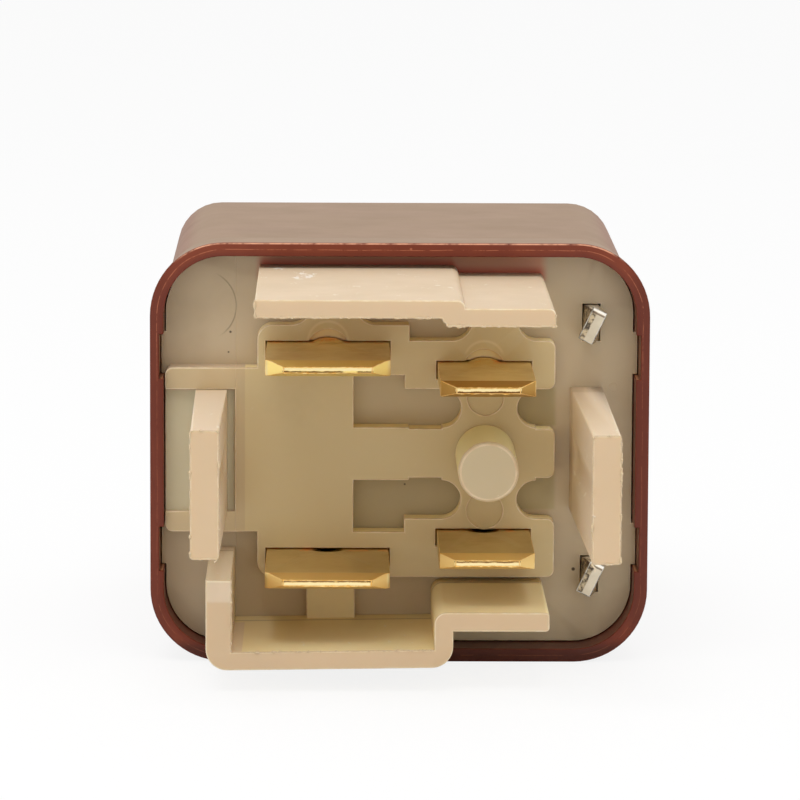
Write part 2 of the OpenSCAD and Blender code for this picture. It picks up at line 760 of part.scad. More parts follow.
// Bobbin: a tube between two flanges, the lower one notched for the coil terminals' tags
module bobbin() {
    tube_r = core_r + core_clear + tube_t;
    low_z = foot_z - bobbin_l;
    color([0.90, 0.88, 0.80]) difference() {
        union() {
            translate([core_x, 0, low_z]) cylinder(r = tube_r, h = bobbin_l);
            for (z = [low_z, foot_z - flange_t]) translate([core_x, 0, 0])
                between(z, z + flange_t) rounded_plan(flange_w, flange_w + 0.4, 1.2);
        }
        translate([core_x, 0, low_z - 1]) cylinder(r = core_r + core_clear, h = bobbin_l + 2);
        for (s = [-1, 1]) {
            y = pattern_y + s * narrow_blade_y;
            block([tag_x - tag_w / 2 - tag_gap, tag_x + tag_w / 2 + tag_gap],
                s > 0 ? [y - blade_t / 2 - tag_gap, flange_w] : [-flange_w, y + blade_t / 2 + tag_gap],
                [foot_z - flange_t - slice, foot_z + slice]);
        }
    }
}

// Ring-shaped sleeve on the core's axis, filling the space between the flanges
module sleeve(r_in, r_out) {
    translate([core_x, 0, foot_z - bobbin_l + flange_t]) difference() {
        cylinder(r = r_out, h = bobbin_l - 2 * flange_t);
        translate([0, 0, -1]) cylinder(r = r_in, h = bobbin_l);
    }
}

module coil_winding() {
    color([0.62, 0.30, 0.14]) sleeve(core_r + core_clear + tube_t, coil_r);
}

module coil_tape() {
    color([0.80, 0.72, 0.40]) sleeve(coil_r, coil_r + tape_t);
}

// The two ends of the winding's wire, brought down through the flange's notches to the tags
module coil_leads() {
    lead_x = tag_x + tag_w / 2 - wire_r - 0.1;
    reach = sqrt(pow(coil_r + tape_t + 1.2 * wire_r, 2) - pow(lead_x - core_x, 2));
    color([0.70, 0.36, 0.16]) for (s = [-1, 1]) {
        tag_y = abs(pattern_y + s * narrow_blade_y) + blade_t / 2 + wire_r;
        y = max(reach, tag_y);
        run_of_wire([
            [lead_x, s * y, tag_top_z - 2], [lead_x, s * y, tag_top_z - 0.2],
            [lead_x, s * tag_y, back_z - 0.6]
        ], wire_r);
    }
}

// ---- Armature and contacts ------------------------------------------------------------

module armature() {
    tail_x = yoke_back_x - 0.15;
    color([0.68, 0.68, 0.66]) swung_open() difference() {
        between(leaf_z, armature_z) polygon([
            [armature_x, -armature_tip_w / 2], [tail_x, -hinge_w / 2],
            [tail_x, hinge_w / 2], [armature_x, armature_tip_w / 2]
        ]);
        translate([yoke_mid_x, 0, hinge_z]) across(2 * hinge_w) circle(hinge_r + hinge_clear);
        armature_rivet_places() cylinder(r = shank_r, h = 3, center = true);
    }
}

module armature_rivet_places() {
    for (x = [armature_x + 2.6, leaf_root_x - 1.5]) translate([x, 0, leaf_z]) children();
}

module armature_rivets() {
    color([0.78, 0.78, 0.76]) swung_open() armature_rivet_places() {
        translate([0, 0, -leaf_t]) cylinder(r = shank_r, h = armature_t + leaf_t);
        translate([0, 0, -leaf_t - rivet_head_h]) cylinder(r = rivet_head_r, h = rivet_head_h);
    }
}

// Contact spring: a leaf riveted along the armature, round at the end that holds the contact
module contact_spring() {
    color([0.78, 0.56, 0.30]) swung_open() difference() {
        between(leaf_z - leaf_t, leaf_z) {
            plan_rect([contact_x, leaf_root_x], [-leaf_w / 2, leaf_w / 2]);
            translate([contact_x, 0]) circle(leaf_w / 2);
        }
        armature_rivet_places() cylinder(r = shank_r, h = 3, center = true);
        translate([contact_x, 0, leaf_z]) cylinder(r = shank_r, h = 3, center = true);
    }
}

module moving_contact() {
    color([0.82, 0.82, 0.80]) swung_open() translate([contact_x, 0, leaf_z]) {
        cylinder(r = contact_r, h = contact_h);
        translate([0, 0, -leaf_t]) cylinder(r = shank_r, h = leaf_t);
        translate([0, 0, -leaf_t - tail_h]) cylinder(r = rivet_head_r, h = tail_h);
    }
}

module fixed_contact() {
    color([0.82, 0.82, 0.80]) translate([contact_x, 0, fixed_face_z]) {
        cylinder(r = contact_r, h = contact_h);
        cylinder(r = shank_r, h = contact_h + blade_t);
    }
}

// Hinge spring: a leaf riveted to the yoke's back and bent over the armature's tail
module hinge_spring() {
    over_l = yoke_back_x + leaf_t - leaf_root_x - 0.6;
    leg_l = hinge_rivet_z + 1.6 - hinge_leaf_z + leaf_t;
    color([0.80, 0.66, 0.40]) difference() {
        translate([yoke_back_x + leaf_t, 0, hinge_leaf_z - leaf_t]) mirror([1, 0, 0])
            across(hinge_leaf_w) bent_strip(over_l, leg_l, leaf_t, bend_r);
        hinge_rivet_places() cylinder(r = shank_r, h = 3, center = true);
    }
}

module hinge_rivet_places() {
    for (s = [-1, 1]) translate([yoke_back_x + leaf_t, s * hinge_leaf_w / 4, hinge_rivet_z])
        rotate([0, 90, 0]) children();
}

module hinge_spring_rivets() {
    color([0.78, 0.78, 0.76]) hinge_rivet_places() {
        translate([0, 0, -leaf_t - yoke_t]) cylinder(r = shank_r, h = leaf_t + yoke_t);
        cylinder(r = 0.9, h = rivet_head_h);
    }
}

// Back stop: a strip standing in the base and bent over the contact spring's end
module back_stop() {
    over_l = contact_x + contact_r - stop_x;
    color([0.72, 0.72, 0.70]) translate([stop_x, 0, stop_face_z - stop_t])
        across(stop_w) bent_strip(over_l, back_z + stop_depth - stop_face_z + stop_t, stop_t, bend_r);
}

// Tube through a list of points, with round joints
module run_of_wire(points, r) {
    joint_grow = 1.1;
    for (i = [0 : len(points) - 2]) {
        step = points[i + 1] - points[i];
        translate(points[i]) rotate([0, acos(step[2] / norm(step)), atan2(step[1], step[0])])
            cylinder(r = r, h = norm(step), $fn = 24);
        if (i > 0) translate(points[i]) sphere(r * joint_grow, $fn = 24);
    }
}

// Braid: flexible copper from the lower load terminal's riser up beside the contact spring
module braid() {
    x = contact_x;
    y = pattern_y - wide_blade_y + blade_t / 2 + braid_r;
    end_z = leaf_z + braid_r;
    fall = braid_top_z - braid_overlap - end_z;
    color([0.74, 0.42, 0.24]) run_of_wire([
        [x, y, braid_top_z + braid_overlap], [x, y, braid_top_z - braid_overlap],
        [x + 0.75 * braid_reach[0], y + 0.5 * braid_reach[1], end_z + fall / 2],
        [x + braid_reach[0], y + braid_reach[1], end_z]
    ], braid_r);
}

// ---- Resistor across the coil ---------------------------------------------------------

module resistor() {
    color([0.55, 0.62, 0.66]) translate([resistor_x, 0, resistor_z]) rotate([90, 0, 0])
        cylinder(r = resistor_r, h = resistor_l, center = true);
}

module resistor_leads() {
    tag_side_x = tag_x - tag_w / 2;
    color([0.80, 0.80, 0.80]) for (s = [0, 1]) mirror([0, s, 0]) {
        y = narrow_blade_y + (s > 0 ? -pattern_y : pattern_y);
        bend_y = y - lead_bend_r;
        translate([resistor_x, 0, resistor_z]) {
            translate([0, resistor_l / 2, 0]) rotate([-90, 0, 0])
                cylinder(r = lead_r, h = bend_y - resistor_l / 2, $fn = 24);
            translate([lead_bend_r, bend_y, 0]) rotate([0, 0, 90]) rotate_extrude(angle = 90)
                translate([lead_bend_r, 0]) circle(lead_r, $fn = 24);
            translate([lead_bend_r, y, 0]) rotate([0, 90, 0])
                cylinder(r = lead_r, h = tag_side_x - resistor_x - lead_bend_r, $fn = 24);
        }
    }
}

lay() cover();
lay() base();
lay() load_terminal_fixed();
lay() load_terminal_braid();
lay() coil_terminal_upper();
lay() coil_terminal_lower();
lay() yoke();
lay() core();
lay() bobbin();
lay() coil_winding();
lay() coil_tape();
lay() coil_leads();
lay() armature();
lay() armature_rivets();
lay() contact_spring();
lay() moving_contact();
lay() fixed_contact();
lay() hinge_spring();
lay() hinge_spring_rivets();
lay() back_stop();
lay() braid();
lay() resistor();
lay() resistor_leads();
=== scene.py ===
import math

import bmesh
import bpy
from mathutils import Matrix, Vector


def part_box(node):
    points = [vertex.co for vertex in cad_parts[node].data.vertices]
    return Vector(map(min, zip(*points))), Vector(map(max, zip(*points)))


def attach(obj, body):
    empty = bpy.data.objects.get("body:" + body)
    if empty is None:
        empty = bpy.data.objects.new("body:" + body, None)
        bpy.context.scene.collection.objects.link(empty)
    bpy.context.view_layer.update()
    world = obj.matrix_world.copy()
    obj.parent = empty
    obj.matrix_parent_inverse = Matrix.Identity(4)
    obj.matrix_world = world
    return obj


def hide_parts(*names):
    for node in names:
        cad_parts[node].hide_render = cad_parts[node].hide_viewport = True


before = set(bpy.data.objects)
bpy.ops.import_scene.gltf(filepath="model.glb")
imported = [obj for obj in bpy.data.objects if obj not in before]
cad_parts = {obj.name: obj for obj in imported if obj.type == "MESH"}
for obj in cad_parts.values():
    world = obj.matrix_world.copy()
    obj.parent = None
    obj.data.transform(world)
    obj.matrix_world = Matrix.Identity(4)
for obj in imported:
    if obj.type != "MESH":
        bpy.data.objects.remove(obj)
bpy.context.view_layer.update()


# ---- The view ---------------------------------------------------------------------------
# The relay lies on one broad side and is seen from its terminal side, a little from above,
# through a long lens that keeps the deep key walls from spreading.
camera = bpy.data.objects.new("camera", bpy.data.cameras.new("camera"))
bpy.context.scene.collection.objects.link(camera)
camera.location = (-0.003373, -0.263853, 0.0495)
camera.rotation_euler = [math.radians(a) for a in (82.0825, -0.2612, -0.7163)]
camera.data.sensor_width = 36
camera.data.lens = 227.394
camera.data.clip_start = 0.01
camera.data.clip_end = 20
bpy.context.scene.camera = camera


# ---- Moulded base -----------------------------------------------------------------------
# One piece of natural nylon: the plate that closes the cover, the pads round the blades, the
# post and the four key walls. It keeps the mould's witness marks, and handling scuffs it.
face_out = 6.4        # millimetres from the origin out to the mouth's rim
middle_height = 10.9  # and from the table up to the relay's middle


def place(x, y, z):
    """A point of the relay's working frame, in millimetres, where the relay lies, in metres.
    In that frame x runs right and y up across the face, and z out of it from the rim."""
    return Vector((x, -z - face_out, y + middle_height)) * 0.001


def paint(red, green, blue):
    """A colour written on the 0 to 255 scale, as the shaders take it."""
    shares = [c / 255 for c in (red, green, blue)]
    return [s / 12.92 if s < 0.04045 else ((s + 0.055) / 1.055) ** 2.4 for s in shares] + [1]


class Signal:
    """A value in a node tree. Sums and products of signals add the Math nodes for them."""

    def __init__(self, tree, socket):
        self.tree = tree
        self.socket = socket

    def node(self, kind, settings=None, inputs=None, out=0):
        """Adds a node with these settings and inputs, and gives one of its outputs."""
        made = self.tree.nodes.new(kind)
        for name, value in (settings or {}).items():
            setattr(made, name, value)
        for key, value in (inputs or {}).items():
            if isinstance(value, Signal):
                self.tree.links.new(value.socket, made.inputs[key])
            else:
                made.inputs[key].default_value = value
        return Signal(self.tree, made.outputs[out])

    def reckon(self, operation, first, second=0.0):
        return self.node("ShaderNodeMath", {"operation": operation}, {0: first, 1: second})

    def __add__(self, other): return self.reckon("ADD", self, other)
    def __radd__(self, other): return self.reckon("ADD", other, self)
    def __sub__(self, other): return self.reckon("SUBTRACT", self, other)
    def __rsub__(self, other): return self.reckon("SUBTRACT", other, self)
    def __mul__(self, other): return self.reckon("MULTIPLY", self, other)
    def __rmul__(self, other): return self.reckon("MULTIPLY", other, self)
    def __truediv__(self, other): return self.reckon("DIVIDE", self, other)
    def __pow__(self, other): return self.reckon("POWER", self, other)
    def __abs__(self): return self.reckon("ABSOLUTE", self)

    def most(self, other): return self.reckon("MAXIMUM", self, other)
    def sine(self): return self.reckon("SINE", self)

    def rise(self, low, high):
        """0 below low, 1 above high, and smooth between."""
        return self.node("ShaderNodeMapRange", {"interpolation_type": "SMOOTHSTEP"},
                         {0: self, 1: low, 2: high})

    def fall(self, low, high):
        """1 below low, 0 above high, and smooth between."""
        return 1 - self.rise(low, high)

    def within(self, low, high, soft):
        """1 between low and high, and 0 beyond them, across soft edges."""
        return self.rise(low - soft, low + soft) * self.fall(high - soft, high + soft)

    def tint(self, first, second):
        """The first colour where this is 0 and the second where it is 1."""
        return self.node("ShaderNodeMix", {"data_type": "RGBA"},
                         {0: self, 6: first, 7: second}, 2)

    def part(self, axis):
        return self.node("ShaderNodeSeparateXYZ", None, {0: self}, axis)

    def stretched(self, x, y, z):
        return self.node("ShaderNodeVectorMath", {"operation": "MULTIPLY"},
                         {0: self, 1: (x, y, z)})

    def noise(self, scale, detail=2.0, rough=0.5):
        return self.node("ShaderNodeTexNoise", None,
                         {"Vector": self, "Scale": scale, "Detail": detail, "Roughness": rough})

    def grains(self, scale):
        return self.node("ShaderNodeTexVoronoi", None, {"Vector": self, "Scale": scale})

    def bump(self, depth_mm, strength=1.0):
        return self.node("ShaderNodeBump", None,
                         {"Height": self, "Strength": strength, "Distance": depth_mm * 0.001})


def working(where):
    """Object coordinates as x, y and z of the relay's working frame, in millimetres."""
    return (where.part(0) * 1000, where.part(2) * 1000 - middle_height,
            -face_out - where.part(1) * 1000)


def away(x, y, spot_x, spot_y):
    """How far a point of the relay's face is from a spot on it."""
    return ((x - spot_x) * (x - spot_x) + (y - spot_y) * (y - spot_y)) ** 0.5


def near(x, y, spot_x, spot_y, radius, soft):
    """1 inside a round spot on the relay's face."""
    return away(x, y, spot_x, spot_y).fall(radius - soft, radius + soft)


def ring(x, y, spot_x, spot_y, radius, half_width, soft):
    """1 along a circle on the relay's face."""
    return away(x, y, spot_x, spot_y).within(radius - half_width, radius + half_width, soft)


def material(name, make):
    """A material whose shader takes what make() returns for the piece's own coordinates."""
    made = bpy.data.materials.new(name)
    made.use_nodes = True
    tree = made.node_tree
    shader = tree.nodes["Principled BSDF"]
    where = Signal(tree, tree.nodes.new("ShaderNodeTexCoord").outputs["Object"])
    for socket, value in make(where).items():
        if isinstance(value, Signal):
            tree.links.new(value.socket, shader.inputs[socket])
        else:
            shader.inputs[socket].default_value = value
    return made


# the faces of the base, by their distance out from the rim
plate_face, window_floor, pad_face = -2.0, -1.0, -0.6
post_tip, low_wall_tip, key_wall_tip = 5.6, 8.25, 13.7
# and across it: the post's centre, the side walls' inner faces and the low wall's left leg
post_x, side_wall_x, leg_x = 4.42, 8.0, -8.45
# the blades: the middle of the pattern, and how far above and below it each pair stands
pattern_y, wide_y, narrow_y = -0.1, 5.4, 4.38
wide_x, narrow_x = -3.7, 4.35
# nylon lets light sink in and come out warmer a little way off
sinking_light = {"Subsurface Weight": 0.22, "Subsurface Radius": (1.0, 0.62, 0.32),
                 "Subsurface Scale": 0.0009}


def nylon(where):
    x, y, z = working(where)
    cloud = where.noise(260, 3, 0.6)
    fine = where.noise(2600, 4, 0.6)
    body = cloud.rise(0.3, 0.7).tint(paint(219, 195, 165), paint(212, 188, 157))
    # ends of the walls, painted a little darker and warmer than their broad faces: painted shade
    long_end = z.rise(key_wall_tip - 0.3, key_wall_tip - 0.05)
    low_end = y.fall(-6.4, -6.2) * z.rise(low_wall_tip - 0.25, low_wall_tip - 0.05)
    ends = long_end.most(low_end)
    body = (ends * 0.7).tint(body, paint(216, 187, 148))
    # painted bounce light: the faces between the walls and the post's round side are painted
    # lighter and yellower, for the nylon's own light thrown from face to face
    post_end = near(x, y, post_x, 0.0, 1.8, 0.1) * z.rise(post_tip - 0.2, post_tip - 0.1)
    between_walls = abs(x).fall(side_wall_x - 0.05, side_wall_x).most(
        y.fall(-5.6, -5.4) * x.within(leg_x - 0.1, side_wall_x, 0.02))
    inner = z.within(plate_face + 0.1, key_wall_tip - 0.3, 0.1) * y.fall(8.3, 8.5) * between_walls
    inner = inner * (1 - post_end) * (1 - low_end)
    body = (inner * 0.9).tint(body, paint(250, 231, 178))
    # painted bounce light: the post's round side, painted paler and yellower still
    post_side = near(x, y, post_x, 0.0, 2.2, 0.1) * z.within(pad_face + 0.2, post_tip - 0.2, 0.1)
    body = (post_side * 0.9).tint(body, paint(255, 244, 188))
    # painted light on the long side walls' own flanks, which see more of the room
    flank = z.rise(-0.3, 0.0) * abs(x).rise(side_wall_x - 0.05, side_wall_x) * y.fall(5.0, 5.2)
    flank = flank * (1 - ends)
    body = (flank * 0.8).tint(body, paint(229, 208, 180))
    # the plate, painted darker and greyer: painted shade from the walls round it and the dark
    # inside showing through the thin nylon
    plate = z.within(plate_face - 1.6, plate_face + 0.1, 0.08)
    body = (plate * 0.75).tint(body, paint(205, 187, 154))
    # painted reflection and shade: the cover's brown thrown on the plate behind the top wall,
    # fading along the wall's step
    step = 9.5 - 0.42 * x.rise(2.6, 3.1)
    strip = plate * y.rise(8.6, 8.9) * x.within(-7.25, 7.45, 0.3)
    painted_brown_bounce = ((y - step) * 1.6).rise(0.1, 0.9).tint(paint(200, 84, 56), paint(216, 154, 124))
    body = (strip * 0.9).tint(body, painted_brown_bounce)
    # painted shade in the pockets between the pads, darker and greener: the lower one, the upper
    # one, and the two right of the post
    between_pads = plate * x.within(-2.5, 3.4, 0.1)
    lower = between_pads * y.within(-4.6, -1.2, 0.1)
    body = (lower * 0.6).tint(body, paint(166, 150, 104))
    upper = between_pads * y.within(1.2, 3.7, 0.1)
    beside = plate * x.within(5.3, 8.1, 0.15) * abs(y).within(1.2, 3.2, 0.1)
    body = (upper * 0.2 + beside * 0.6).tint(body, paint(178, 166, 118))
    # painted highlight along the upper face of the low wall's leg
    leg_highlight = y.within(-5.3, -5.1, 0.03) * x.fall(leg_x + 0.25, leg_x + 0.45)
    leg_highlight = leg_highlight * z.rise(plate_face + 0.05, plate_face + 0.15)
    body = (leg_highlight * 0.6).tint(body, paint(252, 238, 210))
    # the pads, painted darker and yellower as painted shade down between the walls, and the greyer
    # sunk window behind the left wall
    pads = z.within(pad_face - 0.15, pad_face + 0.15, 0.04)
    body = (pads * 0.75).tint(body, paint(198, 176, 132))
    sunk = z.within(window_floor - 0.1, window_floor + 0.1, 0.04)
    sunk = sunk * x.fall(-7.4, -7.3) * abs(y).fall(3.1, 3.2)
    body = (sunk * 0.7).tint(body, paint(206, 200, 166))
    body = (post_end * 0.6).tint(body, paint(208, 194, 154))
    # painted highlight on the rims of the half-round reliefs over the blades' dimples
    relief_highlight = ring(x, y, narrow_x, 4.75, 1.03, 0.05, 0.07).most(
        ring(x, y, wide_x, 5.75, 1.03, 0.05, 0.07))
    relief_highlight = relief_highlight * pads * y.rise(5.0, 5.3)
    body = (relief_highlight * 0.5).tint(body, paint(240, 222, 186))
    # witness lines of the mould: a raised seam, the ring of an ejector and a gate's mark
    seam = x.within(-8.47, -8.44, 0.015) * z.fall(-0.4, -0.3)
    seam = seam * (y.within(3.0, 10.0, 0.1).most(y.within(-10.0, -3.0, 0.1)))
    arc = ring(x, y, -10.3, 7.4, 1.85, 0.03, 0.03) * y.rise(5.6, 6.4) * x.rise(-9.6, -8.9)
    gate = ring(x, y, 11.1, 3.25, 0.22, 0.03, 0.03)
    on_plate = z.fall(plate_face + 0.2, plate_face + 0.3)
    marks = (seam.most(gate * 0.6).most(arc * 0.9)) * (on_plate.most(seam))
    body = (arc * plate * 0.5).tint(body, paint(120, 104, 82))
    body = (seam * 0.35).tint(body, paint(236, 216, 184))
    # scuffs along the broad outer faces of the walls, and a few grains of dust
    streak = where.stretched(1, 0.35, 1).noise(1500, 5, 0.7)
    scuffed = near(x, z * 0.4, -6.2, 0.05, 0.35, 0.15).most(
        near(x, z * 0.35, -4.95, 1.05, 0.7, 0.2))
    scuffed = scuffed * y.rise(9.0, 9.3)
    scuff = (streak + scuffed * 0.14).rise(0.62, 0.7) * (z.rise(-1, 1) * 0.5).most(scuffed)
    scuff = scuff * (1 - ends)
    body = (scuff * 0.8).tint(body, paint(252, 244, 230))
    speck = near(x, y, -8.75, 6.05, 0.06, 0.03)
    for spot_x, spot_y, size in ((-8.85, 5.0, 0.045), (9.1, -6.35, 0.09), (5.6, 3.6, 0.06),
                                 (3.4, 0.1, 0.05), (0.3, -1.9, 0.05)):
        speck = speck.most(near(x, y, spot_x, spot_y, size, 0.03))
    dust = where.grains(230).fall(0.02, 0.035) * where.noise(90, 1).rise(0.5, 0.6)
    body = (speck.most(dust * 0.35) * z.fall(-0.2, 0.0)).tint(body, paint(92, 76, 58))
    smudge = where.noise(140, 4, 0.65).rise(0.55, 0.75) * z.fall(-0.3, -0.1)
    body = (smudge * 0.16).tint(body, paint(150, 126, 92))
    flow = where.stretched(1, 0.2, 1).noise(5200, 2)
    return {
        "Base Color": body,
        "Roughness": 0.42 + 0.16 * cloud - 0.14 * scuff - 0.1 * pads,
        "IOR": 1.5,
        "Specular IOR Level": 0.38,
        **sinking_light,
        "Normal": (fine * 0.5 + flow * 0.3 + scuff * 0.6 + marks * 3.0).bump(0.014, 0.5),
    }


# the nylon's broken edges: paler where rubbed, and paler still as a painted highlight along them
def nylon_edge(where):
    rubbed = where.noise(1400, 3, 0.6)
    return {
        "Base Color": rubbed.rise(0.35, 0.65).tint(paint(222, 197, 160), paint(235, 215, 184)),
        "Roughness": 0.38 + 0.1 * rubbed,
        **sinking_light,
        "Normal": rubbed.bump(0.01, 0.5),
    }


# metres within which points are one, and under which an edge has no length
same_point, no_length = 1e-6, 2e-7
# bends up to which faces are one flat face, over which an edge is worn, and over which the
# shading breaks there
flat_angle, sharp_angle, shaded_angle = (math.radians(a) for a in (0.3, 32, 34))


def welded(mesh):
    """A mesh opened for editing, with the points that its faces share made one."""
    form = bmesh.new()
    form.from_mesh(mesh)
    bmesh.ops.remove_doubles(form, verts=form.verts, dist=same_point)
    return form


def plain_mesh(piece, name):
    """Makes the outcome of a piece's modifiers its mesh, and removes them."""
    graph = bpy.context.evaluated_depsgraph_get()
    made = bpy.data.meshes.new_from_object(piece.evaluated_get(graph))
    made.name = name
    piece.modifiers.clear()
    piece.data = made


def linked(name, data):
    """A new object at the origin, in the scene."""
    piece = bpy.data.objects.new(name, data)
    bpy.context.scene.collection.objects.link(piece)
    return piece


def eased(node, name, width, main, edge, body="housing"):
    """The solid of a node with its outer edges broken by width millimetres, as they come from
    the mould or the press; the broken edge has a finish of its own."""
    form = welded(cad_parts[node].data)
    bmesh.ops.dissolve_limit(form, angle_limit=flat_angle, verts=form.verts, edges=form.edges)
    outer = [e for e in form.edges if e.is_manifold and e.is_convex
             and e.calc_face_angle() > sharp_angle]
    bmesh.ops.bevel(form, geom=outer, offset=width * 0.001, offset_type="OFFSET", segments=2,
                    profile=0.5, affect="EDGES", clamp_overlap=False, material=1)
    bmesh.ops.triangulate(form, faces=[face for face in form.faces if len(face.verts) > 4])
    bmesh.ops.dissolve_degenerate(form, dist=no_length, edges=form.edges)
    for face in form.faces:
        face.smooth = True
    for e in form.edges:
        e.smooth = not e.is_manifold or e.calc_face_angle() < shaded_angle
    mesh = bpy.data.meshes.new(name)
    form.to_mesh(mesh)
    form.free()
    mesh.materials.append(main)
    mesh.materials.append(edge)
    piece = linked(name, mesh)
    piece.modifiers.new("even", "WEIGHTED_NORMAL").keep_sharp = True
    plain_mesh(piece, name)
    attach(piece, body)
    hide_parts(node)
    return piece


moulded_nylon = material("moulded_nylon", nylon)
rubbed_highlit_nylon = material("rubbed_highlit_nylon", nylon_edge)
base = eased("base", "moulded_base", 0.06, moulded_nylon, rubbed_highlit_nylon)


# ---- Moulding flash ---------------------------------------------------------------------
# Nylon squeezed into the parting line of the mould. It leaves a thin ragged lip along the
# ends of the key walls, a tooth here and there, and it is never trimmed off a hidden face.
def sized_tree(name, sizes):
    """A geometry tree that takes a mesh and the named sizes, and what its inputs give."""
    tree = bpy.data.node_groups.new(name, "GeometryNodeTree")
    tree.interface.new_socket("Geometry", in_out="INPUT", socket_type="NodeSocketGeometry")
    for size, kind in sizes.items():
        tree.interface.new_socket(size, in_out="INPUT", socket_type="NodeSocket" + kind)
    tree.interface.new_socket("Geometry", in_out="OUTPUT", socket_type="NodeSocketGeometry")
    given = tree.nodes.new("NodeGroupInput").outputs
    return tree, {name: Signal(tree, given[name]) for name in ["Geometry", *sizes]}


def ending(shape, finish):
    """Closes a tree: every instance made real, and the finish set on it."""
    real = shape.node("GeometryNodeRealizeInstances", None, {"Geometry": shape})
    coated = real.node("GeometryNodeSetMaterial", None, {"Geometry": real, "Material": finish})
    shape.tree.links.new(coated.socket, shape.tree.nodes.new("NodeGroupOutput").inputs[0])


def grown(name, tree, mesh, values, body):
    """The plain mesh that a tree makes from a mesh, riding on a body."""
    piece = linked(name, mesh)
    live = piece.modifiers.new("tree", "NODES")
    live.node_group = tree
    for socket in tree.interface.items_tree:
        if socket.in_out == "INPUT" and socket.name in values:
            live[socket.identifier] = values[socket.name]
    plain_mesh(piece, name)
    for face in piece.data.polygons:
        face.use_smooth = True
    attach(piece, body)
    return piece


def ragged_tree(name, finish):
    """A bead along lines of a mesh, swollen here and there into teeth."""
    tree, given = sized_tree(name, {"Bead": "Float", "Tooth": "Float", "Teeth": "Float",
                                    "Pace": "Float", "Seed": "Float"})
    line = given["Geometry"].node("GeometryNodeMeshToCurve", None, {"Mesh": given["Geometry"]})
    even = line.node("GeometryNodeResampleCurve", {"mode": "LENGTH"},
                     {"Curve": line, "Length": given["Pace"]})
    round_wire = line.node("GeometryNodeCurvePrimitiveCircle", {"mode": "RADIUS"},
                           {"Resolution": 6, "Radius": given["Bead"]})
    bead = even.node("GeometryNodeCurveToMesh", None,
                     {"Curve": even, "Profile Curve": round_wire, "Fill Caps": True})
    where = line.node("GeometryNodeInputPosition")
    rough = line.node("ShaderNodeTexNoise", {"noise_dimensions": "4D"}, {
        "Vector": where, "W": given["Seed"], "Scale": given["Teeth"], "Detail": 3.0})
    swell = line.node("ShaderNodeVectorMath", {"operation": "SCALE"},
                      {0: line.node("GeometryNodeInputNormal"),
                       "Scale": rough.rise(0.45, 0.75) * given["Tooth"]})
    ending(bead.node("GeometryNodeSetPosition", None, {"Geometry": bead, "Offset": swell}), finish)
    return tree


def lines(name, runs):
    """A mesh of loose lines, one along each run of points."""
    mesh = bpy.data.meshes.new(name)
    joins, at = [], 0
    for run in runs:
        joins += [(at + i, at + i + 1) for i in range(len(run) - 1)]
        at += len(run)
    mesh.from_pydata([point for run in runs for point in run], joins, [])
    return mesh


def ridges(node, name, keep):
    """The sharp edges of a node whose middle meets keep(x, y, z), joined end to end as the
    lines of a mesh."""
    form = welded(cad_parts[node].data)
    ends = []
    for e in form.edges:
        middle = (e.verts[0].co + e.verts[1].co) / 2 * 1000
        if e.is_manifold and e.calc_face_angle() > sharp_angle and keep(
                middle.x, middle.z - middle_height, -face_out - middle.y):
            ends.append([v.co.copy() for v in e.verts])
    form.free()
    mesh = lines(name, ends)
    joined = welded(mesh)
    joined.to_mesh(mesh)
    joined.free()
    return mesh


def flashed(x, y, z):
    """True on the ends of the walls, along the edges where the mould's two halves met."""
    key_end, low_end = z > key_wall_tip - 0.1, z > low_wall_tip - 0.05
    top_wall = key_end and y > 8 and (y < 8.75 or x < -7.2)
    left_wall = key_end and x < -7 and y < 4 and (x < -8.9 or y < -2.9)
    right_wall = key_end and x > 7 and y < 4 and (x > 9.2 or y < -3.2)
    left_leg = low_end and leg_x - 0.15 < x < leg_x + 0.05 and y < 0
    low_bar = low_end and leg_x + 0.05 < x < 1.7 and -9.2 < y < -8.6
    return top_wall or left_wall or right_wall or left_leg or low_bar


flash = grown("wall_flash", ragged_tree("ragged_lip", moulded_nylon),
              ridges("base", "wall_flash", flashed),
              {"Bead": 0.000014, "Tooth": 0.00008, "Teeth": 3400.0, "Pace": 0.00003, "Seed": 4.0},
              "housing")

# four loose threads of it that hang off the ends of the side walls
whisker_runs = (((9.26, -3.40, 13.66), (9.42, -3.62, 13.74), (9.40, -3.78, 13.70)),
                ((9.26, -0.98, 13.66), (9.40, -1.05, 13.68)),
                ((9.27, -0.90, 13.5), (9.42, -0.98, 13.64)),
                ((-9.1, -3.24, 13.66), (-9.22, -3.34, 13.70)))
whiskers = lines("flash_whiskers", [[place(*spot) for spot in run] for run in whisker_runs])
grown("flash_whiskers", ragged_tree("ragged_whisker", rubbed_highlit_nylon), whiskers,
              {"Bead": 0.000035, "Tooth": 0.00006, "Teeth": 3000.0, "Pace": 0.00004, "Seed": 9.0},
              "housing")


# ---- Cover ------------------------------------------------------------------------------
# A deep box of brown glass-filled plastic, moulded in one piece. It slides over the mechanism
# until the base sits on its ledge, and four notches near the mouth's corners hold the base.
cover_half = (12.85, 10.9)  # half its width and height, in millimetres
cover_corner = 3.8          # the radius of its corners, seen from the mouth
closed_end = -26.5          # how far its closed end lies behind the rim


def rim_depth(x, y):
    """How far a point of the face lies inside the cover's outline, in millimetres."""
    across = (abs(x) - (cover_half[0] - cover_corner)).most(0.0)
    along = (abs(y) - (cover_half[1] - cover_corner)).most(0.0)
    return cover_corner - (across * across + along * along) ** 0.5


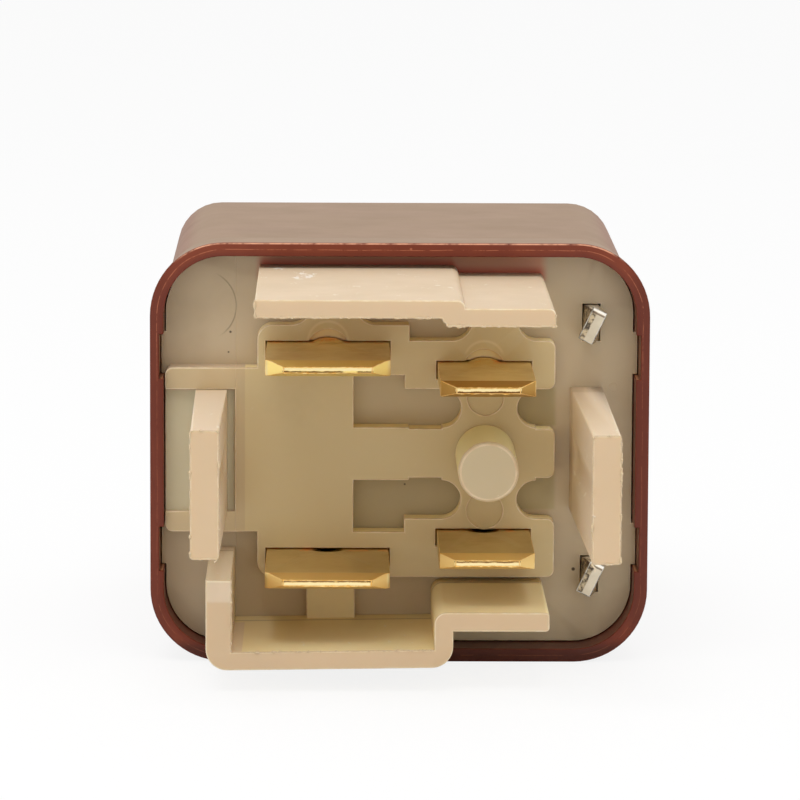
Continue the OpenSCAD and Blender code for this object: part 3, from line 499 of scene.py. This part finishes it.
def brown(where):
    x, y, z = working(where)
    cloud = where.noise(300, 3, 0.6)
    fibre = where.stretched(1, 0.3, 1).noise(3200, 4, 0.65)
    body = cloud.rise(0.3, 0.7).tint(paint(127, 57, 33), paint(115, 48, 28))
    # the mouth's face: a bruised line along its middle and a darker inner border
    rim = z.rise(-0.35, -0.2)
    depth = rim_depth(x, y)
    # painted shade: the mouth's face darker towards its left and right sides
    painted_side_shade = abs(x).rise(11.6, 12.3) * (0.45 + 0.2 * x.rise(-1, 1))
    body = (rim * painted_side_shade).tint(body, paint(92, 36, 20))
    # painted shade along the bottom of the mouth and the skirt just behind it
    body = (z.rise(-2.1, -2.0) * y.fall(-10.3, -9.6) * 0.75).tint(body, paint(62, 28, 20))
    wander = depth + (where.noise(500, 2) - 0.5) * 0.1
    worn = where.noise(1100, 5, 0.8).rise(0.4, 0.56) * (0.35 + 0.65 * y.rise(2, 8))
    line = wander.within(0.345, 0.365, 0.02) * worn * rim
    chip = where.grains(900).fall(0.03, 0.08) * wander.within(0.2, 0.5, 0.1) * rim
    bruise = line.most(chip * where.noise(400, 1).rise(0.5, 0.6))
    body = (bruise * 0.75).tint(body, paint(222, 136, 98))
    body = (rim * depth.within(0.5, 0.9, 0.08) * 0.35).tint(body, paint(98, 36, 24))
    # painted shade: darker, duller plastic down the inside of the mouth
    inside = z.within(-3.5, -0.2, 0.08) * depth.rise(0.62, 0.7)
    body = (inside * 0.6).tint(body, paint(86, 34, 24))
    # painted glow on the notches' floors, where the nylon ears light the brown from below
    notch = z.within(-2.1, -0.15, 0.05) * abs(y).within(3.8, 6.2, 0.1) * depth.rise(0.5, 0.6)
    body = (notch * 0.7).tint(body, paint(196, 128, 84))
    # dust and a painted pale reflection on the side that lies uppermost, and light rubbing all
    # round
    side = z.fall(-0.25, -0.1) * (1 - inside)
    dust = where.noise(190, 4, 0.65)
    rubbing_and_sheen = 0.12 + 0.3 * y.rise(9.6, 10.3)
    body = (side * (rubbing_and_sheen + 0.25 * dust)).tint(body, paint(152, 134, 104))
    # the broken gate in the middle of the closed end, and the rings that four ejectors left
    end = z.fall(closed_end + 0.1, closed_end + 0.3)
    gate = near(x, y, 0.3, -0.2, 0.55, 0.08) * end * (0.6 + 0.4 * where.noise(2400, 4, 0.7))
    pins = ring(abs(x), abs(y), 8.6, 6.8, 1.3, 0.04, 0.04) * end
    body = (gate * 0.5 + pins * 0.25).tint(body, paint(176, 124, 98))
    scratch = where.stretched(0.2, 1, 1).noise(2600, 5, 0.75).rise(0.66, 0.76) * side
    body = (scratch * 0.2).tint(body, paint(196, 148, 120))
    return {
        "Base Color": body,
        "Roughness": 0.34 + 0.1 * cloud + 0.12 * scratch + side * 0.08 * dust,
        "IOR": 1.5,
        "Specular IOR Level": 0.3,
        "Normal": (fibre * 0.4 + cloud * 0.1 - bruise * 0.4 + gate * 2.0
                   + pins * 1.6).bump(0.014, 0.5),
    }


def brown_edge(where):
    x, y, z = working(where)
    worn = where.noise(1500, 4, 0.7)
    # painted highlight along the top of the mouth's rounded outer lip
    lip = z.rise(-0.3, -0.1) * rim_depth(x, y).fall(0.2, 0.3) * y.rise(9.8, 10.6)
    plain = worn.rise(0.4, 0.7).tint(paint(100, 42, 28), paint(122, 58, 40))
    return {
        "Base Color": (lip * worn.rise(0.3, 0.6)).tint(plain, paint(222, 160, 128)),
        "Roughness": 0.5 + 0.1 * worn,
        "Specular IOR Level": 0.15,
        "Normal": worn.bump(0.012, 0.5),
    }


cover = eased("cover", "moulded_cover", 0.045, material("moulded_brown", brown),
              material("worn_brown_and_highlight", brown_edge))


# ---- Blade terminals --------------------------------------------------------------------
# Four blades sheared from 0.8 mm brass strip, coined thin round their ends and dimpled where
# they lock in the base. The wide pair carries the load, the narrow pair feeds the coil.
blade_tip = 7.3    # how far the blades stand out from the rim, in millimetres
coined_from = 6.5  # and where their coined ends begin


def brass(where):
    x, y, z = working(where)
    drawn = where.stretched(0.12, 1, 1).noise(5200, 3, 0.6)
    cloud = where.noise(420, 3, 0.6)
    body = cloud.rise(0.3, 0.7).tint(paint(249, 230, 174), paint(236, 213, 150))
    # painted shade: the lower pair of blades darker before their coined ends
    body = (y.fall(-1, 1) * z.fall(coined_from - 0.1, coined_from) * 0.5).tint(
        body, paint(186, 160, 106))
    tarnish = where.noise(260, 4, 0.65).rise(0.5, 0.75) * z.fall(coined_from - 0.2, coined_from)
    body = (tarnish * 0.3).tint(body, paint(176, 152, 104))
    # the coined bevels, painted brighter as a painted highlight, and darker on the upper narrow
    # blade
    bevel = z.rise(coined_from - 0.08, coined_from + 0.08)
    narrow = x.rise(0.3, 0.4)
    bevel_light = narrow.tint(paint(255, 232, 148), paint(181, 138, 67))
    bevel_light = y.fall(-1, 1).tint(bevel_light, paint(237, 204, 134))
    body = (bevel * 0.9).tint(body, bevel_light)
    # the cut end: a bright lip painted as a highlight where the punch went in, and a torn burr on
    # its other side
    cut = z.rise(blade_tip - 0.08, blade_tip - 0.03)
    middle = abs(y - pattern_y) - wide_y + (wide_y - narrow_y) * narrow
    wander = middle + (where.noise(1500, 4, 0.75) - 0.5) * 0.16
    body = (cut * wander.within(-0.03, 0.1, 0.02)).tint(body, paint(255, 240, 190))
    burr = cut * wander.within(-0.115, -0.055, 0.012) * where.noise(700, 3).rise(0.36, 0.44)
    body = (burr * 0.9).tint(body, paint(96, 52, 20))
    # warm glints low down, where the blade's foot sees the base round it
    glint = z.fall(-0.3, 0.2) * where.noise(1300, 3, 0.6).rise(0.5, 0.6)
    body = (glint * 0.6).tint(body, paint(255, 176, 84))
    return {
        "Base Color": body,
        "Metallic": 1.0 - 0.35 * burr,
        "Roughness": 0.36 + 0.1 * cloud + 0.12 * tarnish + 0.12 * bevel,
        "Normal": (drawn * 0.4 + cloud * 0.4 + bevel * where.noise(2600, 3, 0.6) * 0.8
                   - burr * 2.0).bump(0.012, 0.6),
    }


def sheared_brass(where):
    torn = where.stretched(1, 0.4, 1).noise(3600, 4, 0.7)
    return {
        "Base Color": torn.rise(0.35, 0.65).tint(paint(255, 226, 160), paint(236, 188, 104)),
        "Metallic": 1.0,
        "Roughness": 0.3 + 0.2 * torn,
        "Normal": torn.bump(0.012, 0.6),
    }


rolled_brass = material("rolled_brass", brass)
brass_edge = material("sheared_brass", sheared_brass)
for node in ("load_terminal_fixed", "load_terminal_braid",
             "coil_terminal_upper", "coil_terminal_lower"):
    blade = eased(node, "brass_" + node, 0.035, rolled_brass, brass_edge)

# the ragged burr round each blade's cut end
for node, seed in (("load_terminal_fixed", 1.0), ("load_terminal_braid", 2.0),
                   ("coil_terminal_upper", 3.0), ("coil_terminal_lower", 5.0)):
    burr = grown("burr_" + node, ragged_tree("burr_" + node, brass_edge),
                 ridges(node, "burr_" + node, lambda x, y, z: z > blade_tip - 0.05),
                 {"Bead": 0.000012, "Tooth": 0.00007, "Teeth": 2400.0, "Pace": 0.00004,
                  "Seed": seed}, "housing")


# ---- Yoke -------------------------------------------------------------------------------
# Folded from nickel-plated steel sheet: it carries the coil on its foot and the armature on
# its rounded edge, and two tabs through the base are twisted to lock the whole magnet down.
tab_x, tab_y = 9.925, 6.6  # the tabs' place: to the right, and above and below the middle
twist = (0.899, 0.438)     # cosine and sine of the turn given to them


def plated(where):
    x, y, z = working(where)
    cloud = where.noise(600, 4, 0.6)
    drawn = where.stretched(0.1, 1, 1).noise(4200, 3, 0.6)
    body = cloud.rise(0.3, 0.7).tint(paint(220, 208, 186), paint(200, 188, 166))
    # the twisted tabs: torn and dark on the left of each end, with a painted highlight along the
    # top and painted shade in the groove beside it
    from_x = x - tab_x
    from_y = y - tab_y + 2 * tab_y * y.fall(-0.1, 0.1)
    across = from_x * twist[0] - from_y * twist[1]
    along = from_x * twist[1] + from_y * twist[0]
    tab = z.rise(plate_face - 0.2, plate_face)
    ragged = where.noise(1500, 4, 0.7)
    torn = tab * (across + (ragged - 0.5) * 0.25).fall(-0.12, -0.06)
    pits = where.noise(3200, 3, 0.7)
    pitted = pits.rise(0.4, 0.6).tint(paint(58, 46, 36), paint(206, 188, 156))
    body = (torn * 0.9).tint(body, pitted)
    body = (tab * along.rise(0.72, 0.76)).tint(body, paint(255, 250, 240))
    groove = tab * along.within(0.62, 0.7, 0.02)
    body = (groove * 0.7).tint(body, paint(92, 66, 62))
    return {
        "Base Color": body,
        "Metallic": 1.0 - 0.3 * torn,
        "Roughness": 0.24 + 0.16 * cloud + 0.2 * torn,
        "Normal": (cloud * 0.6 + drawn * 0.2 + torn * ragged * 1.5 - groove * 0.8).bump(0.02, 0.7),
    }


def plated_edge(where):
    torn = where.noise(2400, 4, 0.7)
    return {
        "Base Color": torn.rise(0.3, 0.7).tint(paint(226, 224, 218), paint(150, 146, 138)),
        "Metallic": 1.0,
        "Roughness": 0.28 + 0.2 * torn,
        "Normal": torn.bump(0.015, 0.6),
    }


plated_steel = material("plated_steel", plated)
plated_steel_edge = material("plated_steel_edge", plated_edge)
eased("yoke", "folded_yoke", 0.05, plated_steel, plated_steel_edge)


# ---- Core -------------------------------------------------------------------------------
# Soft iron bar turned to size, headed to a wide pole face at one end. Its other end is
# riveted over in the yoke's foot, so it holds the bobbin down.
core_x = 3.9  # its axis, in the working frame


def soft_iron(where):
    x, y, _ = working(where)
    turned = ((x - core_x) * (x - core_x) + y * y) ** 0.5
    rings = (turned * 60).sine() * 0.5 + 0.5
    cloud = where.noise(700, 4, 0.6)
    body = cloud.rise(0.3, 0.7).tint(paint(176, 174, 170), paint(150, 147, 142))
    rust = where.noise(480, 5, 0.7).rise(0.62, 0.75)
    body = (rust * 0.35).tint(body, paint(128, 92, 66))
    return {
        "Base Color": body,
        "Metallic": 1.0 - 0.5 * rust,
        "Roughness": 0.34 + 0.2 * cloud + 0.2 * rust,
        "Normal": (rings * 0.4 + cloud * 0.6).bump(0.01, 0.6),
    }


def refinish(node, finish):
    """Puts a finish on a node of the relay that keeps its own shape."""
    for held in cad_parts[node].material_slots:
        held.material = finish


refinish("core", material("soft_iron", soft_iron))


# ---- Bobbin and winding -----------------------------------------------------------------
# Moulded spool with some eighty turns of enamelled wire to a layer, held by two laps of
# polyester tape; the wire's ends come down through the notched flange to the coil terminals.
def spool_nylon(where):
    cloud = where.noise(300, 3, 0.6)
    knit = where.stretched(1, 3, 1).noise(900, 3, 0.6)
    return {
        "Base Color": cloud.rise(0.3, 0.7).tint(paint(226, 222, 204), paint(212, 206, 186)),
        "Roughness": 0.44 + 0.12 * cloud,
        "Normal": (cloud * 0.5 + knit * 0.5).bump(0.012, 0.5),
    }


wire_across = 0.00016  # the wire's thickness, in metres
turns_depth = 0.00135  # and that of all its layers together
turn_pitch = 1.02      # from one turn to the next, in wires
barrel_under = 0.6     # how far the barrel of inner turns lies under the outside, in wires


def enamel(where):
    z = working(where)[2]
    lay = (z * 2 * math.pi / (wire_across * 1000)).sine() * 0.5 + 0.5
    cloud = where.noise(500, 3, 0.6)
    body = cloud.rise(0.3, 0.7).tint(paint(186, 92, 44), paint(158, 70, 30))
    return {
        "Base Color": (lay * 0.3).tint(body, paint(214, 128, 72)),
        "Metallic": 0.75 + 0.15 * cloud,
        "Roughness": 0.22 + 0.1 * cloud,
        "Normal": (lay + cloud * 0.4).bump(0.02, 0.6),
    }


def tape_film(where):
    z = working(where)[2]
    creased = where.stretched(1, 0.4, 1).noise(900, 4, 0.65)
    lap = z.within(-13.2, -13.05, 0.03)  # where the tape's first lap ends
    body = creased.rise(0.3, 0.7).tint(paint(212, 184, 104), paint(196, 164, 82))
    return {
        "Base Color": (lap * 0.5).tint(body, paint(150, 118, 52)),
        "Roughness": 0.2 + 0.16 * creased,
        "Normal": (creased + lap).bump(0.015, 0.5),
    }


enamelled = material("enamelled_copper", enamel)
refinish("bobbin", material("spool_nylon", spool_nylon))
refinish("coil_tape", material("tape_film", tape_film))
refinish("coil_leads", enamelled)

low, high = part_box("coil_winding")
coil_axis = ((low[0] + high[0]) / 2, (low[2] + high[2]) / 2)
coil_outer = (high[0] - low[0]) / 2
coil_span = high[1] - low[1] - wire_across


def winding_tree():
    """One layer of wire laid turn against turn, on a plain barrel of the turns under it."""
    tree, given = sized_tree("winding", {"Turns": "Float", "Outer": "Float", "Wire": "Float",
                                         "Span": "Float", "Start": "Vector"})
    reach = given["Outer"] - given["Wire"] * 0.5
    spiral = given["Turns"].node("GeometryNodeCurveSpiral", None, {
        "Resolution": 24, "Rotations": given["Turns"], "Height": given["Span"],
        "Start Radius": reach, "End Radius": reach})
    wire = spiral.node("GeometryNodeCurvePrimitiveCircle", {"mode": "RADIUS"},
                       {"Resolution": 6, "Radius": given["Wire"] * 0.5})
    layer = spiral.node("GeometryNodeCurveToMesh", None,
                        {"Curve": spiral, "Profile Curve": wire, "Fill Caps": True})
    laid = layer.node("GeometryNodeTransform", None,
                      {"Geometry": layer, "Translation": given["Start"],
                       "Rotation": (-math.pi / 2, 0, 0)})
    both = laid.node("GeometryNodeJoinGeometry", None, {"Geometry": laid})
    tree.links.new(given["Geometry"].socket, both.socket.node.inputs[0])
    ending(both, enamelled)
    return tree


# the turns under the outer layer, as a barrel: two rings of points outside and two inside
barrel = bmesh.new()
barrel_sides = 48
for radius in (coil_outer - wire_across * barrel_under, coil_outer - turns_depth):
    for y in (low[1], high[1]):
        for i in range(barrel_sides):
            turn = 2 * math.pi * i / barrel_sides
            barrel.verts.new((coil_axis[0] + radius * math.cos(turn), y,
                              coil_axis[1] + radius * math.sin(turn)))
barrel.verts.ensure_lookup_table()
for first, second in ((0, 1), (1, 3), (3, 2), (2, 0)):
    for i in range(barrel_sides):
        j = (i + 1) % barrel_sides
        barrel.faces.new([barrel.verts[k] for k in (
            first * barrel_sides + i, first * barrel_sides + j,
            second * barrel_sides + j, second * barrel_sides + i)])
bmesh.ops.recalc_face_normals(barrel, faces=barrel.faces)
barrel_mesh = bpy.data.meshes.new("winding_barrel")
barrel.to_mesh(barrel_mesh)
barrel.free()
winding = grown("wire_winding", winding_tree(), barrel_mesh,
                {"Turns": round(coil_span / wire_across / turn_pitch), "Outer": coil_outer,
                 "Wire": wire_across, "Span": coil_span,
                 "Start": (coil_axis[0], low[1] + wire_across / 2, coil_axis[1])}, "housing")
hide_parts("coil_winding")


# ---- Armature ---------------------------------------------------------------------------
# Flat iron plate hinged on the yoke's edge and plated like it, with the contact leaf riveted
# along it by two headed steel rivets.
armature_plate = material("armature_plate", plated)
refinish("armature", armature_plate)


def headed_steel(where):
    cloud = where.noise(1500, 4, 0.6)
    hammered = where.grains(2600)
    return {
        "Base Color": cloud.rise(0.3, 0.7).tint(paint(214, 212, 206), paint(180, 176, 168)),
        "Metallic": 1.0,
        "Roughness": 0.24 + 0.16 * cloud,
        "Normal": (cloud + hammered * 0.4).bump(0.012, 0.6),
    }


rivet_steel = material("headed_steel", headed_steel)
refinish("armature_rivets", rivet_steel)
refinish("hinge_spring_rivets", rivet_steel)


# ---- Springs and contacts ---------------------------------------------------------------
# The leaves are rolled copper alloy, blanked and bent; the contact buttons are silver alloy
# on copper shanks; the back stop is a tinned strip standing in the base.
def spring_bronze(where):
    rolled = where.stretched(1, 0.1, 0.1).noise(6000, 3, 0.6)
    cloud = where.noise(500, 4, 0.6)
    return {
        "Base Color": cloud.rise(0.3, 0.7).tint(paint(216, 160, 96), paint(190, 130, 70)),
        "Metallic": 1.0,
        "Roughness": 0.26 + 0.14 * cloud,
        "Normal": (rolled * 0.7 + cloud * 0.3).bump(0.008, 0.6),
    }


def contact_silver(where):
    soot = where.noise(1400, 4, 0.65).rise(0.55, 0.7)
    cloud = where.noise(2600, 3, 0.6)
    return {
        "Base Color": (soot * 0.6).tint(paint(222, 220, 212), paint(120, 112, 102)),
        "Metallic": 1.0 - 0.4 * soot,
        "Roughness": 0.26 + 0.14 * cloud + 0.24 * soot,
        "Normal": (cloud + soot).bump(0.01, 0.6),
    }


def tinned_strip(where):
    flow = where.noise(800, 3, 0.6)
    fine = where.noise(4200, 3, 0.6)
    return {
        "Base Color": flow.rise(0.3, 0.7).tint(paint(208, 206, 200), paint(184, 180, 172)),
        "Metallic": 1.0,
        "Roughness": 0.3 + 0.14 * flow,
        "Normal": (flow + fine * 0.3).bump(0.012, 0.6),
    }


bronze = material("spring_bronze", spring_bronze)
silver = material("contact_silver", contact_silver)
refinish("contact_spring", bronze)
refinish("hinge_spring", bronze)
refinish("moving_contact", silver)
refinish("fixed_contact", silver)
tinned = material("tinned_strip", tinned_strip)
refinish("back_stop", tinned)


# ---- Braid ------------------------------------------------------------------------------
# Flexible rope of bare copper strands, welded to the lower load terminal's riser and led up
# beside the contact leaf, which it feeds.
def bare_copper(where):
    cloud = where.noise(1200, 3, 0.6)
    dull = where.noise(3000, 3, 0.6)
    return {
        "Base Color": cloud.rise(0.3, 0.7).tint(paint(214, 128, 84), paint(176, 92, 54)),
        "Metallic": 1.0,
        "Roughness": 0.3 + 0.2 * dull,
        "Normal": dull.bump(0.008, 0.5),
    }


def rope_tree():
    """Strands wound round a path: each is the path itself, moved off it at its own angle."""
    tree, given = sized_tree("rope", {"Strands": "Int", "Strand": "Float", "Lay": "Float",
                                      "Turn length": "Float", "Pace": "Float"})
    path = given["Geometry"].node("GeometryNodeMeshToCurve", None, {"Mesh": given["Geometry"]})
    even = path.node("GeometryNodeResampleCurve", {"mode": "LENGTH"},
                     {"Curve": path, "Length": given["Pace"]})
    copies = even.node("GeometryNodeDuplicateElements", {"domain": "SPLINE"},
                       {"Geometry": even, "Amount": given["Strands"]})
    which = Signal(tree, copies.socket.node.outputs["Duplicate Index"])
    along = Signal(tree, tree.nodes.new("GeometryNodeSplineParameter").outputs["Length"])
    angle = (which / given["Strands"] + along / given["Turn length"]) * (2 * math.pi)
    tangent = path.node("GeometryNodeInputTangent")
    normal = path.node("GeometryNodeInputNormal")
    cross = path.node("ShaderNodeVectorMath", {"operation": "CROSS_PRODUCT"},
                      {0: tangent, 1: normal})
    up, aside = (path.node("ShaderNodeVectorMath", {"operation": "SCALE"},
                           {0: way, "Scale": share * given["Lay"]})
                 for way, share in ((normal, path.reckon("COSINE", angle)), (cross, angle.sine())))
    out = path.node("ShaderNodeVectorMath", {"operation": "ADD"}, {0: up, 1: aside})
    moved = copies.node("GeometryNodeSetPosition", None, {"Geometry": copies, "Offset": out})
    wire = path.node("GeometryNodeCurvePrimitiveCircle", {"mode": "RADIUS"},
                     {"Resolution": 6, "Radius": given["Strand"]})
    ending(moved.node("GeometryNodeCurveToMesh", None,
                      {"Curve": moved, "Profile Curve": wire, "Fill Caps": True}),
           material("bare_copper", bare_copper))
    return tree


rope_path = lines("braid_path", [[place(*spot) for spot in (
    (-5.4, -4.65, -10.55), (-5.4, -4.65, -14.3), (-5.1, -4.45, -15.6), (-4.2, -3.8, -18.04),
    (-3.9, -3.2, -20.2), (-3.8, -2.95, -21.5))]])
rope = rope_tree()
for layer, strands, lay, turn_length in (("outer", 11, 0.00034, 0.0052),
                                         ("inner", 5, 0.00014, -0.004)):
    strand = grown("braid_" + layer, rope, rope_path.copy(),
                   {"Strands": strands, "Strand": 0.0001, "Lay": lay, "Turn length": turn_length,
                    "Pace": 0.00012}, "housing")
    if layer == "outer":
        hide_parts("braid")


# ---- Resistor ---------------------------------------------------------------------------
# Film resistor across the coil, lacquered and ringed with its value, on tinned leads that
# are bent to the sides of the two coil terminals.
def lacquer(where):
    y = working(where)[1]
    rings = y.within(1.7, 2.15, 0.04)
    for low_y, high_y in ((0.7, 1.1), (-0.3, 0.1)):
        rings = rings.most(y.within(low_y, high_y, 0.04))
    last = y.within(-2.1, -1.75, 0.04)
    cloud = where.noise(900, 3, 0.6)
    body = cloud.rise(0.3, 0.7).tint(paint(134, 158, 172), paint(112, 138, 154))
    body = rings.tint(body, paint(104, 62, 36))
    return {
        "Base Color": last.tint(body, paint(190, 150, 70)),
        "Roughness": 0.26 + 0.14 * cloud,
        "Normal": (cloud * 0.5 + rings * 0.5).bump(0.02, 0.5),
    }


refinish("resistor", material("resistor_lacquer", lacquer))
refinish("resistor_leads", tinned)


# ---- The stage --------------------------------------------------------------------------
# A plain pale table with no far edge in sight, in an evenly lit room, and one wide soft lamp
# above and in front of the relay. Looked at straight, the table is nearly as white as the room.
surface = bpy.data.meshes.new("table")
surface.from_pydata([(-1.5, -1.2, 0), (1.5, -1.2, 0), (1.5, 1.5, 0), (-1.5, 1.5, 0)], [],
                    [(0, 1, 2, 3)])
plane = linked("table", surface)
whiteness = 0.85  # how much of the plain white is mixed in where the table is looked at
paper = bpy.data.materials.new("table")
paper.use_nodes = True
shader = paper.node_tree.nodes["Principled BSDF"]
shader.inputs["Base Color"].default_value = (0.93, 0.93, 0.93, 1)
shader.inputs["Roughness"].default_value = 0.9
shader.inputs["Specular IOR Level"].default_value = 0.1
seen = Signal(paper.node_tree,
              paper.node_tree.nodes.new("ShaderNodeLightPath").outputs["Is Camera Ray"])
glow = seen.node("ShaderNodeEmission", None, {"Color": (1, 1, 1, 1), "Strength": 1.0})
mixed = seen.node("ShaderNodeMixShader", None, {
    0: seen * whiteness, 1: Signal(paper.node_tree, shader.outputs[0]), 2: glow})
paper.node_tree.links.new(mixed.socket,
                          paper.node_tree.nodes["Material Output"].inputs["Surface"])
surface.materials.append(paper)

world = bpy.data.worlds.new("room")
bpy.context.scene.world = world
world.use_nodes = True
room = world.node_tree
rays = room.nodes.new("ShaderNodeLightPath").outputs
eye, glossy, through = (Signal(room, rays[kind]) for kind in (
    "Is Camera Ray", "Is Glossy Ray", "Is Transmission Ray"))
# seen directly or in a reflection the room is white, and warmer in the reflections; the light
# that it throws on the relay is dimmer
straight = eye.most(glossy).most(through)
room.links.new((straight * (1 - eye)).tint((1, 1, 1, 1), (1.0, 0.96, 0.86, 1)).socket,
               room.nodes["Background"].inputs["Color"])
room.links.new((0.72 + 0.28 * straight).socket, room.nodes["Background"].inputs["Strength"])

light = bpy.data.lights.new("overhead", "AREA")
light.shape = "RECTANGLE"
light.size = 0.30
light.size_y = 0.22
light.energy = 0.86
overhead = linked("overhead", light)
overhead.location = (-0.03, -0.15, 0.41)
relay_front = Vector((0, -0.005, 0.01))
overhead.rotation_euler = (relay_front - overhead.location).to_track_quat("-Z", "Y").to_euler()

bpy.context.scene.view_settings.view_transform = "Standard"
